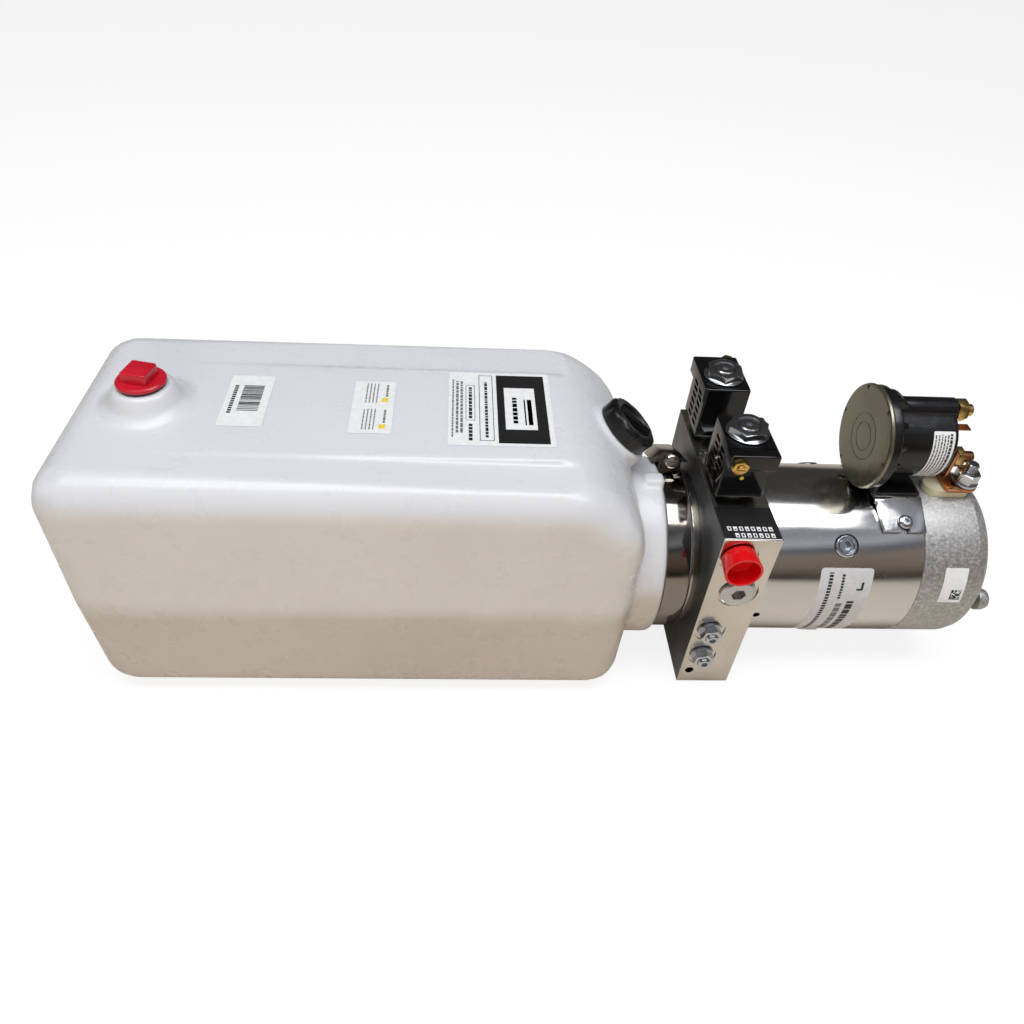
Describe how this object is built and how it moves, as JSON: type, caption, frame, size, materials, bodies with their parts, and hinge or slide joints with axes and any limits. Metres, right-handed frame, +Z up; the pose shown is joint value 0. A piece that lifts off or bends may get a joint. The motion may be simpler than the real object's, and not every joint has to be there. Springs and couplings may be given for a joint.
{
  "type": "hydraulic power unit",
  "caption": "Compact DC hydraulic power unit: plastic oil tank, steel manifold with solenoid valves, gear pump, series motor and start contactor.",
  "frame": {"origin": "centre of the manifold's bottom face", "axes": "+X along the motor shaft away from the tank, +Z up, ports and adjusters face -Y"},
  "size_m": [0.5784, 0.1635, 0.1974],
  "materials": {
    "tank_polyethylene": "translucent blow-moulded white",
    "machined_steel": "machined and nickel plated",
    "bright_plated_steel": "bright plated",
    "zinc_plated_steel": "zinc plated",
    "contactor_plate": "olive passivated, satin",
    "cast_aluminium": "as cast",
    "brass": "machined",
    "copper": "bare copper",
    "black_plastic": "moulded",
    "red_plastic": "moulded",
    "cream_insulator": "moulded",
    "black_rubber": "matte",
    "brush_carbon": "pressed carbon",
    "laminated_iron": "machined"
  },
  "bodies": {
    "base": {"cartridge_front": "zinc_plated_steel", "cartridge_rear": "zinc_plated_steel", "clamp_band": "bright_plated_steel", "coil_front": "black_plastic", "coil_nut_front": "zinc_plated_steel", "coil_nut_rear": "zinc_plated_steel", "coil_rear": "black_plastic", "coil_terminal_front": "brass", "coil_terminal_rear": "brass", "contactor_bracket": "black_plastic", "contactor_coil": "copper", "contactor_housing": "black_plastic", "contactor_plate": "contactor_plate", "copper_strap": "copper", "end_bearing": "machined_steel", "field_poles": "copper", "manifold_block": "machined_steel", "motor_end_cap": "cast_aluminium", "motor_saddle": "bright_plated_steel", "motor_terminal": "zinc_plated_steel", "motor_tube": "bright_plated_steel", "neck_seal": "black_rubber", "plunger_spring_front": "zinc_plated_steel", "plunger_spring_rear": "zinc_plated_steel", "pole_screw_front": "zinc_plated_steel", "pole_screw_rear": "zinc_plated_steel", "port_plug": "zinc_plated_steel", "pump_body": "cast_aluminium", "pump_cover": "cast_aluminium", "relief_locknut_lower": "zinc_plated_steel", "relief_locknut_upper": "zinc_plated_steel", "reservoir_tank": "tank_polyethylene", "saddle_screw": "zinc_plated_steel", "shaft_seal": "black_rubber", "suction_tube": "black_plastic", "terminal_insulator": "cream_insulator", "terminal_lower": "copper", "terminal_upper": "brass", "through_bolt_front": "cast_aluminium", "through_bolt_rear": "cast_aluminium", "top_plug": "zinc_plated_steel"},
    "rotor": {"armature": "laminated_iron", "commutator": "copper", "drive_gear": "laminated_iron"},
    "driven_shaft": {"driven_gear": "laminated_iron"},
    "valve_core_front": {"plunger_front": "laminated_iron"},
    "valve_core_rear": {"plunger_rear": "laminated_iron"},
    "contactor_core": {"contactor_plunger": "zinc_plated_steel"},
    "filler_seal": {"filler_gasket": "black_rubber"},
    "filler_closure": {"filler_cap": "black_plastic"},
    "plug_seal": {"tank_plug_seal": "black_rubber"},
    "plug_closure": {"tank_plug": "red_plastic"},
    "port_closure": {"port_cap": "red_plastic"},
    "clamp_worm": {"clamp_screw": "bright_plated_steel"},
    "relief_piston_upper": {"relief_seat_upper": "zinc_plated_steel"},
    "relief_adjuster_upper": {"relief_screw_upper": "zinc_plated_steel"},
    "relief_piston_lower": {"relief_seat_lower": "zinc_plated_steel"},
    "relief_adjuster_lower": {"relief_screw_lower": "zinc_plated_steel"},
    "brush_holder_upper": {"brush_upper": "brush_carbon"},
    "brush_holder_lower": {"brush_lower": "brush_carbon"}
  },
  "joints": [
    {"name": "motor_spin", "type": "hinge", "parent": "base", "child": "rotor", "pos_m": [0, 0, 0.0665], "axis": [1, 0, 0], "continuous": true},
    {"name": "driven_gear_spin", "type": "hinge", "parent": "base", "child": "driven_shaft", "pos_m": [0, 0, 0.0445], "axis": [1, 0, 0], "continuous": true},
    {"name": "valve_stroke_front", "type": "slide", "parent": "base", "child": "valve_core_front", "axis": [0, 0, 1], "range_m": [0, 0.0025], "stiffness_N_per_m": 900, "springref_m": -0.004, "deforming": ["plunger_spring_front"]},
    {"name": "valve_stroke_rear", "type": "slide", "parent": "base", "child": "valve_core_rear", "axis": [0, 0, 1], "range_m": [0, 0.0025], "stiffness_N_per_m": 900, "springref_m": -0.004, "deforming": ["plunger_spring_rear"]},
    {"name": "contactor_stroke", "type": "slide", "parent": "base", "child": "contactor_core", "axis": [1, 0, 0], "range_m": [0, 0.003], "stiffness_N_per_m": 1200, "springref_m": -0.004},
    {"name": "filler_cap_lift", "type": "slide", "parent": "base", "child": "filler_seal", "axis": [0.6422, 0, 0.7665], "range_m": [0, 0.008]},
    {"name": "filler_cap_turn", "type": "hinge", "parent": "filler_seal", "child": "filler_closure", "pos_m": [-0.0691, 0.013, 0.1508], "axis": [0.6422, 0, 0.7665], "range_deg": [0, 720]},
    {"name": "tank_plug_lift", "type": "slide", "parent": "base", "child": "plug_seal", "axis": [0, 0, 1], "range_m": [0, 0.0054]},
    {"name": "tank_plug_turn", "type": "hinge", "parent": "plug_seal", "child": "plug_closure", "pos_m": [-0.3498, 0, 0.187], "axis": [0, 0, 1], "range_deg": [0, 1080]},
    {"name": "port_cap_pull", "type": "slide", "parent": "base", "child": "port_closure", "axis": [0, -1, 0], "range_m": [0, 0.02]},
    {"name": "clamp_screw_turn", "type": "hinge", "parent": "base", "child": "clamp_worm", "pos_m": [-0.0315, 0.02709, 0.12205], "axis": [0, -0.8988, 0.4384], "range_deg": [-1440, 1440]},
    {"name": "brush_feed_upper", "type": "slide", "parent": "base", "child": "brush_holder_upper", "axis": [0, 0, 1], "range_m": [0, 0.004], "stiffness_N_per_m": 600, "springref_m": -0.01},
    {"name": "brush_feed_lower", "type": "slide", "parent": "base", "child": "brush_holder_lower", "axis": [0, 0, -1], "range_m": [0, 0.004], "stiffness_N_per_m": 600, "springref_m": -0.01},
    {"name": "relief_piston_travel_upper", "type": "slide", "parent": "base", "child": "relief_piston_upper", "axis": [0, 1, 0], "range_m": [-0.002, 0.002]},
    {"name": "relief_screw_turn_upper", "type": "hinge", "parent": "relief_piston_upper", "child": "relief_adjuster_upper", "pos_m": [-0.0068, -0.0665, 0.0542], "axis": [0, 1, 0], "range_deg": [-720, 720]},
    {"name": "relief_piston_travel_lower", "type": "slide", "parent": "base", "child": "relief_piston_lower", "axis": [0, 1, 0], "range_m": [-0.002, 0.002]},
    {"name": "relief_screw_turn_lower", "type": "hinge", "parent": "relief_piston_lower", "child": "relief_adjuster_lower", "pos_m": [-0.0064, -0.0665, 0.0295], "axis": [0, 1, 0], "range_deg": [-720, 720]}
  ],
  "couplings": [
    {"joint": "driven_gear_spin", "follows": "motor_spin", "ratio": -1},
    {"joint": "filler_cap_turn", "follows": "filler_cap_lift", "rad_per_m": 1570.7},
    {"joint": "tank_plug_turn", "follows": "tank_plug_lift", "rad_per_m": 3490.6},
    {"joint": "relief_screw_turn_upper", "follows": "relief_piston_travel_upper", "rad_per_m": 6283},
    {"joint": "relief_screw_turn_lower", "follows": "relief_piston_travel_lower", "rad_per_m": 6283}
  ]
}
